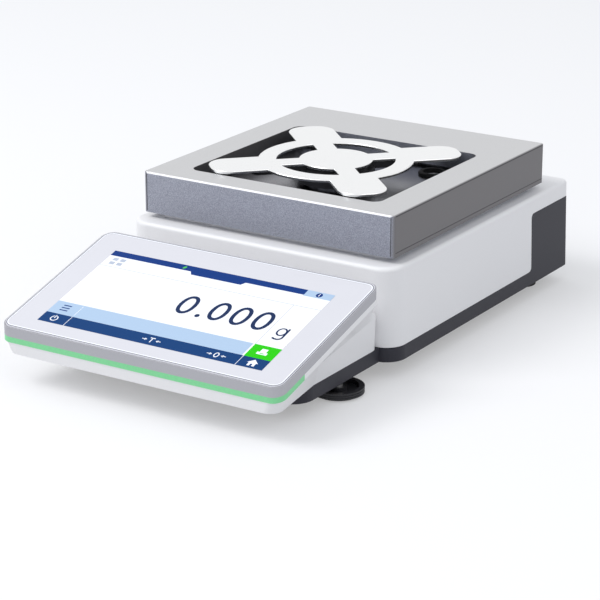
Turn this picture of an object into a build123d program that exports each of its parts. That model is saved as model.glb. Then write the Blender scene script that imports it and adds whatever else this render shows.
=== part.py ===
"""Precision balance: a weighing unit with a draft ring and a star-shaped pan, and a sloping touch terminal.

Millimetres. X runs to the right, Y to the back, Z up. The origin is on the table, under the middle of
the whole footprint. The terminal faces -Y.
"""

import os
from math import cos, radians, sin

from build123d import *

os.makedirs("parts", exist_ok=True)

# Footprint and heights
housing_depth = 228.5
terminal_reach = 124.0
housing_width_top = 189.6
housing_width_base = 192.6
base_z = 10.5
seam_z = 19.3
deck_z = 68.4
rear_y = (housing_depth + terminal_reach) / 2
housing_front_y = rear_y - housing_depth
terminal_front_y = housing_front_y - terminal_reach

# Housing shells
wall = 2.5
floor_thickness = 3.0
seam_gap = 0.3
front_corner_radius = 13.0
rear_corner_radius = 5.0
deck_edge_radius = 2.4
rear_panel_length = 53.0
rear_panel_top_z = 57.4
rear_panel_radius = 3.0
rear_panel_y = rear_y - rear_panel_length
floor_z = base_z + floor_thickness

# Draft ring and its seat on the deck
ring_width = 178.8
ring_depth = 190.9
ring_height = 26.0
ring_off_deck = 3.6
ring_sheet = 1.5
ring_corner_radius = 2.0
ring_bend_radius = 0.9
ring_flange = 9.0
ring_rear_gap = 27.55
opening_width = 135.5
opening_corner_radius = 6.5
opening_skirt = 11.5
plinth_inset = 7.0
tray_seat_height = 15.0
ring_bottom_z = deck_z + ring_off_deck
ring_top_z = ring_bottom_z + ring_height
ring_y = rear_y - ring_rear_gap - ring_depth / 2

# Weighing pan
pan_size = 124.4
pan_thickness = 1.9
pan_above_ring = 0.5
pan_gap = 0.6
pan_arm_width = 30.0
pan_tip_radius = 12.0
pan_ring_radius = 48.9
pan_slot_outer = 37.2
pan_slot_inner = 23.3
pan_spoke_width = 13.0
pan_edge_radius = 0.8
pan_front_margin = 18.0
opening_depth = pan_size + 2 * pan_gap
opening_y = ring_y - ring_depth / 2 + pan_front_margin + opening_depth / 2
pan_y = opening_y
pan_bottom_z = ring_top_z + pan_above_ring

# Drip tray
tray_sheet = 1.0
tray_rim = 5.0
tray_overlap = 4.5
tray_corner_radius = 9.0
tray_collar_radius = 17.0
tray_collar_height = 5.0
tray_hole_radius = 6.5
tray_hole_x = 41.5
tray_hole_behind_pan = 50.0
grommet_wall = 1.6
grommet_lip = 1.2
grommet_height = 2.0
tray_bottom_z = deck_z + tray_seat_height
tray_floor_z = tray_bottom_z + tray_sheet
tray_y_hole = pan_y + tray_hole_behind_pan

# Pan support and load receiver
support_hub_radius = 21.0
support_skirt_radius = 24.5
support_skirt_wall = 2.0
support_skirt_gap = 2.0
support_arm_width = 11.0
support_arm_reach = 108.0
support_thickness = 4.5
column_radius = 6.0
column_hole_radius = 11.0
column_collar_wall = 2.5
column_collar_height = 4.5
column_seat_z = 50.0
load_travel = 0.2

# Load cell
cell_base_thickness = 6.5
cell_base_width = 60.0
cell_front = 34.0
cell_back = 106.0
cell_tower_gap = 23.0
cell_tower_depth = 36.0
cell_top_z = 52.0
cell_width = 48.0
guide_thickness = 2.0
guide_gap = 0.3
receiver_width = 40.0
receiver_depth = 28.0
receiver_bottom_z = 25.0
hook_bottom_z = 15.0
hook_radius = 4.0
magnet_radius = 20.0
magnet_height = 24.0
magnet_behind_pan = 84.0
coil_radius = 12.0
coil_wall = 1.5
coil_depth = 11.0
coil_gap = 1.2
lever_width = 14.0
lever_height = 6.0

# Electronics
board_thickness = 1.6
board_height = 6.5
main_board_width = 38.0
main_board_length = 150.0
main_board_x = -59.0
main_board_front_gap = 6.0
port_board_width = 118.0
port_board_depth = 22.0
port_board_lift = 9.0
port_depth = 20.0
port_face_inset = 0.5
standoff_radius = 3.0
screw_radius = 1.5
screw_head_radius = 2.8
screw_head_height = 1.8
shell_screw_depth = 12.0

# Terminal
terminal_width = 194.7
terminal_tilt = 15.5
terminal_plan_depth = 106.6
terminal_corner_radius = 7.5
glass_low_z = 36.2
glass_thickness = 1.8
glass_proud = 0.4
frame_rim = 0.9
frame_fit = 0.1
frame_bottom = 6.2
strip_height = 3.4
strip_width = 4.0
strip_reach = 26.0
chin_z = 19.6
chin_half = 94.3
neck_half = 86.3
neck_start = 52.0
shell_wall = 2.4
shell_mid_z = 25.5
shell_mid_tilt = 7.6
shell_mid_half = 96.4
shell_mid_kink_half = 90.0
shell_mid_neck_half = 88.0
slope_length = terminal_plan_depth / cos(radians(terminal_tilt))
slope_normal = (0, -sin(radians(terminal_tilt)), cos(radians(terminal_tilt)))

# Display behind the glass
display_width = 166.0
display_length = 92.0
display_thickness = 4.0
display_low = 8.5
display_fit = 1.0
terminal_board_width = 120.0
terminal_board_length = 60.0
terminal_board_drop = 3.0

# Levelling feet
foot_x = 78.0
foot_behind_tongue_front = 54.0
tongue_length = 86.5
tongue_half = 86.0
tongue_corner_radius = 14.0
wheel_radius = 15.6
wheel_top_z = 5.1
wheel_web = 1.2
wheel_recess_radius = 12.4
wheel_groove = 0.5
sole_radius = 12.8
sole_thickness = 1.2
spin_gap = 0.2
spigot_radius = 1.5
spigot_height = 1.2
running_fit = 0.05
stem_radius = 3.0
stem_top_z = 18.8
fixed_fit = 0.02
insert_radius = 5.0
boss_radius = 8.0
tongue_front_y = housing_front_y - tongue_length
foot_y = tongue_front_y + foot_behind_tongue_front

# Rear feet and weigh-below cover
rear_foot_radius = 9.0
rear_foot_x = 76.0
rear_foot_inset = 26.0
cover_radius = 16.0
cover_thickness = 1.3
cover_gap = 0.2
cover_ledge = 2.5
cover_slot_width = 2.2
cover_slot_length = 14.0
cover_slot_depth = 0.7


def write(builder, label):
    """Label a finished piece and write its file."""
    builder.part.label = label
    export_step(builder.part, f"parts/{label}.step")


def rounded(plane, width, depth, radius, centre=(0, 0)):
    """Rounded rectangle lying on a plane."""
    with BuildSketch(plane) as outline:
        with Locations(centre):
            RectangleRounded(width, depth, radius)
    return outline.sketch


def disc(plane, radius, centre=(0, 0)):
    """Circle lying on a plane."""
    with BuildSketch(plane) as outline:
        with Locations(centre):
            Circle(radius)
    return outline.sketch


def level(z):
    """Horizontal plane at one height."""
    return Plane.XY.offset(z)


def terminal_plane(drop):
    """Plane parallel to the glass, dropped straight down from the glass's front edge."""
    origin = (0, terminal_front_y, glass_low_z - drop)
    return Plane(origin=origin, x_dir=(1, 0, 0), z_dir=slope_normal)


def terminal_outline(drop, inset=0.0):
    """The terminal's rounded outline on one of its sloping planes."""
    width = terminal_width - 2 * inset
    length = slope_length - 2 * inset
    radius = terminal_corner_radius - inset
    return rounded(terminal_plane(drop), width, length, radius, (0, slope_length / 2))


def housing_outline(z, inset=0.0):
    """Housing outline at one height, with large corners at the front and small ones at the back."""
    share = (z - base_z) / (deck_z - base_z)
    width = housing_width_base + share * (housing_width_top - housing_width_base) - 2 * inset
    with BuildSketch(level(z)) as outline:
        with Locations((0, (housing_front_y + rear_y) / 2)):
            Rectangle(width, housing_depth - 2 * inset)
        fillet(outline.vertices().group_by(Axis.Y)[0], front_corner_radius - inset)
        fillet(outline.vertices().group_by(Axis.Y)[-1], rear_corner_radius - inset)
    return outline.sketch


def tongue_outline(z, inset, overrun):
    """Outline of the low tongue under the terminal, rounded at the front, run into the housing wall."""
    front = tongue_front_y + inset
    back = housing_front_y + overrun
    half = tongue_half - inset
    with BuildSketch(level(z)) as outline:
        with Locations((0, (front + back) / 2)):
            Rectangle(2 * half, back - front)
        fillet(outline.vertices().group_by(Axis.Y)[0], tongue_corner_radius - inset)
    return outline.sketch


def sloped(drop_top, drop_bottom, inset=0.0):
    """Solid between two planes parallel to the glass, with the terminal's outline and upright walls."""
    sketch = terminal_outline(drop_bottom, inset)
    return extrude(sketch, amount=drop_bottom - drop_top, dir=(0, 0, 1), mode=Mode.PRIVATE)


def sloped_box(drop_top, drop_bottom, width, length, middle):
    """Box between two planes parallel to the glass, its middle given along the slope."""
    sketch = rounded(terminal_plane(drop_bottom), width, length, 1.0, (0, middle))
    return extrude(sketch, amount=drop_bottom - drop_top, dir=(0, 0, 1), mode=Mode.PRIVATE)


def box(x, y, z, width, depth, height, mode=Mode.ADD):
    """Upright box from its lower middle."""
    with Locations((x, y, z)):
        Box(width, depth, height, align=(Align.CENTER, Align.CENTER, Align.MIN), mode=mode)


def shell_outline(plane, halves, lines, inset):
    """Terminal shell outline: wide at the front, narrowing to the neck, which runs straight to the back."""
    front_half, kink_half, back_half = (half - inset for half in halves)
    front, kink, back = lines[0] + inset, lines[1], lines[2] - inset
    with BuildSketch(plane) as outline:
        with BuildLine():
            Polyline(
                (-front_half, front),
                (front_half, front),
                (kink_half, kink),
                (back_half, back),
                (-back_half, back),
                (-kink_half, kink),
                close=True,
            )
        make_face()
        fillet(outline.vertices().group_by(Axis.Y)[0], terminal_corner_radius - inset)
        fillet(outline.vertices().group_by(Axis.Y)[-1], terminal_corner_radius - inset)
    return outline.sketch


def shell_sections(inset, lift):
    """The three outlines that the terminal shell is lofted through, from the rim down to the chin."""
    half = terminal_width / 2
    slope = cos(radians(terminal_tilt))
    top_lines = (0, neck_start / slope, slope_length)
    top_plane = terminal_plane(frame_bottom + strip_height)
    top = shell_outline(top_plane, (half, half, half), top_lines, inset)
    middle_plane = Plane(
        origin=(0, terminal_front_y, shell_mid_z + lift / 2),
        x_dir=(1, 0, 0),
        z_dir=(0, -sin(radians(shell_mid_tilt)), cos(radians(shell_mid_tilt))),
    )
    middle_halves = (shell_mid_half, shell_mid_kink_half, shell_mid_neck_half)
    middle_lines = (0.3, neck_start, terminal_reach - 1.0)
    middle = shell_outline(middle_plane, middle_halves, middle_lines, inset)
    bottom_plane = Plane(origin=(0, terminal_front_y, chin_z + lift))
    bottom_lines = (0.9, neck_start, terminal_reach)
    bottom = shell_outline(bottom_plane, (chin_half, neck_half, neck_half), bottom_lines, inset)
    return [top.face(), middle.face(), bottom.face()]


def light_region(bottom_z, gap):
    """Side profile of the light shell's region: above the seam, stepping up over the rear panel."""
    top = ring_top_z
    corner_y = rear_panel_y - gap
    with BuildSketch(Plane.YZ) as profile:
        with BuildLine():
            Polyline(
                (terminal_front_y, bottom_z + gap),
                (corner_y, bottom_z + gap),
                (corner_y, rear_panel_top_z + gap),
                (rear_y + wall, rear_panel_top_z + gap),
                (rear_y + wall, top),
                (terminal_front_y, top),
                close=True,
            )
        make_face()
        corners = [v for v in profile.vertices() if abs(v.X - corner_y) < 0.01]
        fillet(corners, rear_panel_radius)
    return profile.sketch


# Housing form shared by both shells: full outside and inside
with BuildPart() as housing_form:
    loft([housing_outline(base_z).face(), housing_outline(deck_z).face()])

with BuildPart() as housing_cavity:
    loft([housing_outline(floor_z, wall).face(), housing_outline(deck_z - wall, wall).face()])

# Base tub: dark floor, low walls, rear panel and the tongue under the terminal
port_axis_z = floor_z + port_board_lift + board_thickness
port_openings = {
    "power_inlet": (-44.0, 9.0, 11.0),
    "usb_device_port": (-22.0, 12.0, 11.2),
    "usb_host_port": (2.0, 14.6, 7.2),
    "lan_port": (30.0, 16.0, 13.4),
}
rear_foot_y = rear_y - rear_foot_inset
foot_places = [(-foot_x, foot_y), (foot_x, foot_y)]
rear_foot_places = [(-rear_foot_x, rear_foot_y), (rear_foot_x, rear_foot_y)]
main_board_y = housing_front_y + wall + main_board_front_gap + main_board_length / 2
port_board_y = rear_y - wall - 1.0 - port_board_depth / 2
main_standoffs = [
    (main_board_x + side * (main_board_width / 2 - 5), main_board_y + end * (main_board_length / 2 - 5))
    for side in (-1, 1)
    for end in (-1, 1)
]
port_standoffs = [(side * (port_board_width / 2 - 5), port_board_y) for side in (-1, 1)]
shell_screw_places = [
    (side * 84.0, place) for side in (-1, 1) for place in (housing_front_y + 16.0, rear_panel_y - 14.0)
]

with BuildPart() as base_tub:
    add(housing_form.part)
    extrude(light_region(seam_z, 0), amount=housing_width_base, both=True, mode=Mode.SUBTRACT)
    add(housing_cavity.part, mode=Mode.SUBTRACT)
    extrude(tongue_outline(base_z, 0, wall), amount=seam_z - base_z)
    extrude(tongue_outline(floor_z, wall, wall + 1), amount=seam_z, mode=Mode.SUBTRACT)
    for place in foot_places:
        extrude(disc(level(base_z), boss_radius, place), amount=seam_z - base_z)
        extrude(disc(level(base_z), insert_radius, place), amount=seam_z - base_z, mode=Mode.SUBTRACT)
    for place in main_standoffs:
        extrude(disc(level(floor_z), standoff_radius, place), amount=board_height)
        extrude(disc(level(floor_z), screw_radius, place), amount=board_height, mode=Mode.SUBTRACT)
    for place in port_standoffs:
        extrude(disc(level(floor_z), standoff_radius, place), amount=port_board_lift)
        extrude(disc(level(floor_z), screw_radius, place), amount=port_board_lift, mode=Mode.SUBTRACT)
    for x, width, height in port_openings.values():
        with BuildSketch(Plane.XZ.offset(-rear_y)):
            with Locations((x, port_axis_z + height / 2)):
                RectangleRounded(width + 2 * seam_gap, height + 2 * seam_gap, 0.6)
        extrude(amount=wall + 1, mode=Mode.SUBTRACT)
    for place in shell_screw_places:
        extrude(disc(level(base_z), screw_radius + 0.2, place), amount=floor_thickness, mode=Mode.SUBTRACT)
        head_seat = disc(level(base_z), screw_head_radius + 0.3, place)
        extrude(head_seat, amount=screw_head_height, mode=Mode.SUBTRACT)
    extrude(disc(level(base_z), cover_radius + cover_gap, (0, pan_y)), amount=1.5, mode=Mode.SUBTRACT)
    extrude(
        disc(level(base_z), cover_radius - cover_ledge, (0, pan_y)),
        amount=floor_thickness,
        mode=Mode.SUBTRACT,
    )

write(base_tub, "base_tub")

# Upper housing: light shell with the two-step plinth that carries the tray and the ring
plinth_width = ring_width - 2 * plinth_inset
plinth_depth = ring_depth - 2 * plinth_inset
seat_width = opening_width + 2 * (ring_sheet + tray_overlap)
seat_depth = opening_depth + 2 * (ring_sheet + tray_overlap)

with BuildPart() as upper_housing:
    add(housing_form.part)
    deck_edges = upper_housing.faces().sort_by(Axis.Z)[-1].edges()
    fillet(deck_edges, deck_edge_radius)
    extrude(rounded(level(deck_z), plinth_width, plinth_depth, 6, (0, ring_y)), amount=ring_off_deck)
    extrude(rounded(level(deck_z), seat_width, seat_depth, 8, (0, pan_y)), amount=tray_seat_height)
    add(housing_cavity.part, mode=Mode.SUBTRACT)
    extrude(
        rounded(level(deck_z - wall), seat_width - 2 * wall, seat_depth - 2 * wall, 6, (0, pan_y)),
        amount=tray_seat_height,
        mode=Mode.SUBTRACT,
    )
    collar_top = tray_seat_height + column_collar_height
    collar_radius = column_hole_radius + column_collar_wall
    extrude(disc(level(tray_bottom_z - wall), collar_radius, (0, pan_y)), amount=wall + column_collar_height)
    extrude(
        disc(level(deck_z - wall), column_hole_radius, (0, pan_y)),
        amount=wall + collar_top,
        mode=Mode.SUBTRACT,
    )
    extrude(light_region(seam_z, seam_gap), amount=housing_width_base, both=True, mode=Mode.INTERSECT)
    for place in shell_screw_places:
        extrude(disc(level(floor_z), standoff_radius + 1, place), amount=deck_z - wall - floor_z)
        extrude(disc(level(floor_z), screw_radius, place), amount=shell_screw_depth, mode=Mode.SUBTRACT)

write(upper_housing, "upper_housing")

# Draft ring: folded sheet with an outer wall, a bottom flange and a short skirt round the opening
with BuildPart() as draft_ring:
    ring_plane = level(ring_bottom_z)
    extrude(rounded(ring_plane, ring_width, ring_depth, ring_corner_radius, (0, ring_y)), amount=ring_height)
    fillet(draft_ring.faces().sort_by(Axis.Z)[-1].edges(), ring_bend_radius)
    extrude(
        rounded(
            level(ring_bottom_z + ring_sheet),
            ring_width - 2 * ring_sheet,
            ring_depth - 2 * ring_sheet,
            0.6,
            (0, ring_y),
        ),
        amount=ring_height - 2 * ring_sheet,
        mode=Mode.SUBTRACT,
    )
    extrude(
        rounded(
            ring_plane,
            ring_width - 2 * (ring_sheet + ring_flange),
            ring_depth - 2 * (ring_sheet + ring_flange),
            4,
            (0, ring_y),
        ),
        amount=ring_sheet,
        mode=Mode.SUBTRACT,
    )
    skirt = rounded(
        level(ring_top_z - opening_skirt),
        opening_width + 2 * ring_sheet,
        opening_depth + 2 * ring_sheet,
        opening_corner_radius + ring_sheet,
        (0, opening_y),
    )
    extrude(skirt, amount=opening_skirt - ring_sheet)
    opening = rounded(
        level(ring_top_z - opening_skirt), opening_width, opening_depth, opening_corner_radius, (0, opening_y)
    )
    extrude(opening, amount=opening_skirt, mode=Mode.SUBTRACT)

write(draft_ring, "draft_ring")

# Drip tray: shallow drawn tray with a raised collar round the load column and a round finger hole
tray_width = seat_width
tray_depth = seat_depth
with BuildPart() as drip_tray:
    extrude(
        rounded(level(tray_bottom_z), tray_width, tray_depth, tray_corner_radius, (0, pan_y)),
        amount=tray_rim,
    )
    extrude(
        rounded(
            level(tray_floor_z),
            tray_width - 2 * tray_sheet,
            tray_depth - 2 * tray_sheet,
            tray_corner_radius - tray_sheet,
            (0, pan_y),
        ),
        amount=tray_rim,
        mode=Mode.SUBTRACT,
    )
    extrude(
        disc(level(tray_bottom_z), tray_collar_radius + tray_sheet, (0, pan_y)),
        amount=tray_sheet + tray_collar_height,
    )
    extrude(
        disc(level(tray_bottom_z), tray_collar_radius, (0, pan_y)),
        amount=tray_sheet + tray_collar_height,
        mode=Mode.SUBTRACT,
    )
    grommet_hole = tray_hole_radius + grommet_wall
    extrude(
        disc(level(tray_bottom_z), grommet_hole, (tray_hole_x, tray_y_hole)),
        amount=tray_sheet,
        mode=Mode.SUBTRACT,
    )

write(drip_tray, "drip_tray")

with BuildPart() as tray_grommet:
    hole_centre = (tray_hole_x, tray_y_hole)
    extrude(disc(level(tray_bottom_z), grommet_hole, hole_centre), amount=tray_sheet)
    extrude(disc(level(tray_floor_z), grommet_hole + grommet_lip, hole_centre), amount=grommet_height)
    fillet(tray_grommet.edges().group_by(Axis.Z)[-1], grommet_lip * 0.8)
    extrude(
        disc(level(tray_bottom_z), tray_hole_radius, hole_centre),
        amount=tray_sheet + grommet_height,
        mode=Mode.SUBTRACT,
    )

write(tray_grommet, "tray_grommet")

# Weighing pan: four arms on one ring, with a hub and four curved slots
arm_corner = pan_arm_width / 2 - pan_tip_radius
arm_half = (pan_size / 2 - pan_tip_radius) * 2 / 2**0.5 - arm_corner + pan_tip_radius
with BuildPart() as weighing_pan:
    with BuildSketch(level(pan_bottom_z)) as star:
        with Locations((0, pan_y)):
            Circle(pan_ring_radius)
            with Locations(Rotation(0, 0, 45), Rotation(0, 0, -45)):
                RectangleRounded(2 * arm_half, pan_arm_width, pan_tip_radius)
        with Locations((0, pan_y)):
            with BuildSketch(mode=Mode.PRIVATE) as slots:
                Circle(pan_slot_outer)
                Circle(pan_slot_inner, mode=Mode.SUBTRACT)
                for angle in (45, -45):
                    Rectangle(2 * pan_slot_outer + 2, pan_spoke_width, rotation=angle, mode=Mode.SUBTRACT)
            add(slots.sketch, mode=Mode.SUBTRACT)
    extrude(amount=pan_thickness)
    fillet(weighing_pan.faces().sort_by(Axis.Z)[-1].edges(), pan_edge_radius)

write(weighing_pan, "weighing_pan")

# Pan support: dark cross with a hub, a skirt over the tray's collar and a socket for the load column
support_bottom_z = pan_bottom_z - support_thickness
skirt_bottom_z = tray_floor_z + support_skirt_gap + 1.0
socket_bottom_z = tray_bottom_z + 1.0
with BuildPart() as pan_support:
    extrude(disc(level(support_bottom_z), support_hub_radius, (0, pan_y)), amount=support_thickness)
    for turn in (45, -45):
        with BuildSketch(level(support_bottom_z)):
            with Locations(Location((0, pan_y, 0), (0, 0, turn))):
                RectangleRounded(support_arm_reach, support_arm_width, support_arm_width / 2 - 1)
        extrude(amount=support_thickness)
    skirt_height = support_bottom_z - skirt_bottom_z
    extrude(disc(level(skirt_bottom_z), support_skirt_radius, (0, pan_y)), amount=skirt_height + 1.5)
    skirt_inside = support_skirt_radius - support_skirt_wall
    extrude(disc(level(skirt_bottom_z), skirt_inside, (0, pan_y)), amount=skirt_height, mode=Mode.SUBTRACT)
    socket_height = support_bottom_z - socket_bottom_z
    extrude(disc(level(socket_bottom_z), column_radius + 3, (0, pan_y)), amount=socket_height)
    extrude(
        disc(level(socket_bottom_z), column_radius + fixed_fit, (0, pan_y)),
        amount=socket_height,
        mode=Mode.SUBTRACT,
    )

write(pan_support, "pan_support")

with BuildPart() as load_column:
    extrude(disc(level(column_seat_z), column_radius, (0, pan_y)), amount=support_bottom_z - column_seat_z)

write(load_column, "load_column")

# Load cell: one aluminium block with a base, a tower and the coil lever over the magnet
cell_base_z = floor_z + cell_base_thickness
cell_middle_y = pan_y + (cell_back - cell_front) / 2
tower_y = pan_y + cell_tower_gap + cell_tower_depth / 2
tower_height = cell_top_z - cell_base_z
magnet_y = pan_y + magnet_behind_pan
lever_length = magnet_behind_pan + coil_radius + 3 - cell_tower_gap - cell_tower_depth
hook_hole_radius = 8.0
cell_screw_places = [(side * 25.0, place) for side in (-1, 1) for place in (pan_y - 26.0, pan_y + 64.0)]

with BuildPart() as load_cell_frame:
    box(0, cell_middle_y, floor_z, cell_base_width, cell_front + cell_back, cell_base_thickness)
    fillet(load_cell_frame.edges().filter_by(Axis.Z), 3)
    extrude(disc(level(floor_z), hook_hole_radius, (0, pan_y)), amount=cell_base_thickness, mode=Mode.SUBTRACT)
    box(0, tower_y, cell_base_z, cell_width, cell_tower_depth, tower_height)
    with BuildSketch(Plane.YZ):
        with Locations((tower_y - cell_tower_depth / 4, cell_base_z + tower_height / 2)):
            RectangleRounded(cell_tower_depth / 3, tower_height / 2, 3)
        with Locations((tower_y + cell_tower_depth / 4, cell_base_z + tower_height / 2)):
            RectangleRounded(cell_tower_depth / 3, tower_height / 2, 3)
    extrude(amount=cell_width, both=True, mode=Mode.SUBTRACT)
    lever_y = tower_y + cell_tower_depth / 2 + lever_length / 2
    box(0, lever_y, cell_top_z - lever_height, lever_width, lever_length, lever_height)
    extrude(disc(level(cell_top_z - lever_height), coil_radius + 2, (0, magnet_y)), amount=lever_height)
    for place in cell_screw_places:
        hole = disc(level(floor_z), screw_radius, place)
        extrude(hole, amount=cell_base_thickness, mode=Mode.SUBTRACT)

write(load_cell_frame, "load_cell_frame")

with BuildPart() as receiver_block:
    block_height = column_seat_z - receiver_bottom_z
    box(0, pan_y, receiver_bottom_z, receiver_width, receiver_depth, block_height)
    fillet(receiver_block.edges().filter_by(Axis.Z), 2)
    extrude(disc(level(hook_bottom_z), hook_radius, (0, pan_y)), amount=receiver_bottom_z - hook_bottom_z)
    with BuildSketch(Plane.YZ):
        with Locations((pan_y, hook_bottom_z + hook_radius)):
            Circle(hook_radius / 2)
    extrude(amount=hook_radius, both=True, mode=Mode.SUBTRACT)

write(receiver_block, "receiver_block")

with BuildPart() as guide_plates:
    guide_front_y = pan_y + receiver_depth / 2 + guide_gap
    guide_back_y = pan_y + cell_tower_gap
    for bottom in (receiver_bottom_z + 3, column_seat_z - 3 - guide_thickness):
        box(
            0,
            (guide_front_y + guide_back_y) / 2,
            bottom,
            receiver_width - 4,
            guide_back_y - guide_front_y,
            guide_thickness,
        )

write(guide_plates, "guide_plates")

with BuildPart() as pot_magnet:
    extrude(disc(level(cell_base_z), magnet_radius, (0, magnet_y)), amount=magnet_height)
    fillet(pot_magnet.edges().group_by(Axis.Z)[-1], 1)
    slot_z = cell_base_z + magnet_height - coil_depth - 1.5
    extrude(disc(level(slot_z), coil_radius + coil_gap, (0, magnet_y)), amount=magnet_height, mode=Mode.SUBTRACT)
    pole_radius = coil_radius - coil_wall - coil_gap
    pole_height = cell_base_z + magnet_height - slot_z
    extrude(disc(level(slot_z), pole_radius, (0, magnet_y)), amount=pole_height)

write(pot_magnet, "pot_magnet")

with BuildPart() as coil:
    coil_top_z = cell_top_z - lever_height
    coil_bottom_z = cell_base_z + magnet_height - coil_depth
    coil_height = coil_top_z - coil_bottom_z
    extrude(disc(level(coil_bottom_z), coil_radius, (0, magnet_y)), amount=coil_height)
    inside = disc(level(coil_bottom_z), coil_radius - coil_wall, (0, magnet_y))
    extrude(inside, amount=coil_height, mode=Mode.SUBTRACT)

write(coil, "coil")

with BuildPart() as cell_screws:
    for place in cell_screw_places:
        shank = disc(level(floor_z), screw_radius - fixed_fit, place)
        extrude(shank, amount=cell_base_thickness)
        head = disc(level(cell_base_z), screw_head_radius, place)
        extrude(head, amount=screw_head_height)

write(cell_screws, "cell_screws")

# Main board, its parts and its screws
main_board_z = floor_z + board_height
port_board_z = floor_z + port_board_lift
board_top_z = main_board_z + board_thickness
with BuildPart() as main_board:
    plate = rounded(level(main_board_z), main_board_width, main_board_length, 2, (main_board_x, main_board_y))
    extrude(plate, amount=board_thickness)
    for place in main_standoffs:
        hole = disc(level(main_board_z), screw_radius, place)
        extrude(hole, amount=board_thickness, mode=Mode.SUBTRACT)

write(main_board, "main_board")

main_board_parts = [
    (-6.0, -48.0, 14.0, 14.0, 2.2),
    (7.0, -22.0, 10.0, 10.0, 1.8),
    (-6.0, 2.0, 18.0, 18.0, 2.6),
    (8.0, 24.0, 9.0, 16.0, 9.0),
    (-8.0, 32.0, 12.0, 12.0, 14.0),
    (0.0, 56.0, 22.0, 7.0, 8.0),
    (0.0, -62.0, 22.0, 6.0, 7.0),
]
with BuildPart() as board_parts:
    for x, y, width, depth, height in main_board_parts:
        box(main_board_x + x, main_board_y + y, board_top_z, width, depth, height)

write(board_parts, "board_parts")

with BuildPart() as port_board:
    plate = rounded(level(port_board_z), port_board_width, port_board_depth, 1.5, (0, port_board_y))
    extrude(plate, amount=board_thickness)
    for place in port_standoffs:
        hole = disc(level(port_board_z), screw_radius, place)
        extrude(hole, amount=board_thickness, mode=Mode.SUBTRACT)

write(port_board, "port_board")

with BuildPart() as board_screws:
    for places, bottom, seat in (
        (main_standoffs, floor_z, board_top_z),
        (port_standoffs, floor_z, port_board_z + board_thickness),
    ):
        for place in places:
            shank = disc(level(bottom), screw_radius - fixed_fit, place)
            extrude(shank, amount=seat - bottom)
            extrude(disc(level(seat), screw_head_radius, place), amount=screw_head_height)

write(board_screws, "board_screws")

# Ports on the back: shells that stand on the port board and reach through the rear panel
port_face = Plane.XZ.offset(-rear_y + port_face_inset)


def port_shell(name):
    """Outer block of a port, from the panel's face inwards."""
    x, width, height = port_openings[name]
    box(
        x,
        rear_y - port_face_inset - port_depth / 2,
        port_axis_z,
        width,
        port_depth,
        height,
    )


def port_cut(x, z, width, height, depth):
    """Rectangular socket cut into a port from its face."""
    with BuildSketch(port_face) as outline:
        with Locations((x, z)):
            Rectangle(width, height)
    extrude(outline.sketch, amount=depth, dir=(0, -1, 0), mode=Mode.SUBTRACT)


with BuildPart() as power_inlet:
    port_shell("power_inlet")
    x, width, height = port_openings["power_inlet"]
    with BuildSketch(port_face):
        with Locations((x, port_axis_z + height / 2)):
            Circle(3.1)
            Circle(1.0, mode=Mode.SUBTRACT)
    extrude(amount=9, dir=(0, -1, 0), mode=Mode.SUBTRACT)

write(power_inlet, "power_inlet")

with BuildPart() as usb_device_port:
    port_shell("usb_device_port")
    x, width, height = port_openings["usb_device_port"]
    port_cut(x, port_axis_z + height / 2, 8.6, 7.9, 9)
    box(x, rear_y - port_face_inset - 4.6, port_axis_z + height / 2 - 1.6, 5.6, 9.2, 3.2)

write(usb_device_port, "usb_device_port")

with BuildPart() as usb_host_port:
    port_shell("usb_host_port")
    x, width, height = port_openings["usb_host_port"]
    port_cut(x, port_axis_z + height / 2, 12.6, 5.2, 12)
    box(x, rear_y - port_face_inset - 6.4, port_axis_z + height / 2 + 0.2, 11.2, 11.6, 1.9)

write(usb_host_port, "usb_host_port")

with BuildPart() as lan_port:
    port_shell("lan_port")
    x, width, height = port_openings["lan_port"]
    port_cut(x, port_axis_z + height / 2 + 0.6, 11.8, 8.4, 12)
    port_cut(x, port_axis_z + height / 2 - 4.6, 6.4, 2.4, 12)

write(lan_port, "lan_port")

# Terminal, from the glass down: glass, silver frame, light strip, shell, display and its board
display_middle = display_low + display_length / 2
display_bottom = glass_thickness + display_thickness
strip_bottom = frame_bottom + strip_height

with BuildPart() as touch_glass:
    add(sloped(0, glass_thickness, frame_rim))

write(touch_glass, "touch_glass")

with BuildPart() as terminal_frame:
    add(sloped(glass_proud, frame_bottom))
    add(sloped(0, glass_thickness, frame_rim - frame_fit), mode=Mode.SUBTRACT)
    window_width = display_width + 2 * display_fit
    window_length = display_length + 2 * display_fit
    window = sloped_box(0, frame_bottom + 1, window_width, window_length, display_middle)
    add(window, mode=Mode.SUBTRACT)

write(terminal_frame, "terminal_frame")

with BuildPart() as status_light_strip:
    add(sloped(frame_bottom, strip_bottom))
    add(sloped(frame_bottom - 1, strip_bottom + 1, strip_width), mode=Mode.SUBTRACT)
    rest_length = slope_length - strip_reach + 1
    rest = sloped_box(
        frame_bottom - 1, strip_bottom + 1, terminal_width + 2, rest_length, strip_reach + rest_length / 2
    )
    add(rest, mode=Mode.SUBTRACT)

write(status_light_strip, "status_light_strip")

with BuildPart() as display_module:
    add(sloped_box(glass_thickness, display_bottom, display_width, display_length, display_middle))

write(display_module, "display_module")

board_drop = display_bottom + terminal_board_drop
with BuildPart() as terminal_board:
    add(
        sloped_box(
            board_drop,
            board_drop + board_thickness,
            terminal_board_width,
            terminal_board_length,
            display_middle,
        )
    )

write(terminal_board, "terminal_board")

with BuildPart() as terminal_standoffs:
    for side in (-1, 1):
        for end in (-1, 1):
            place = (
                side * (terminal_board_width / 2 - 6),
                display_middle + end * (terminal_board_length / 2 - 6),
            )
            post = disc(terminal_plane(board_drop), standoff_radius, place)
            extrude(post, amount=terminal_board_drop, dir=(0, 0, 1))

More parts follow.
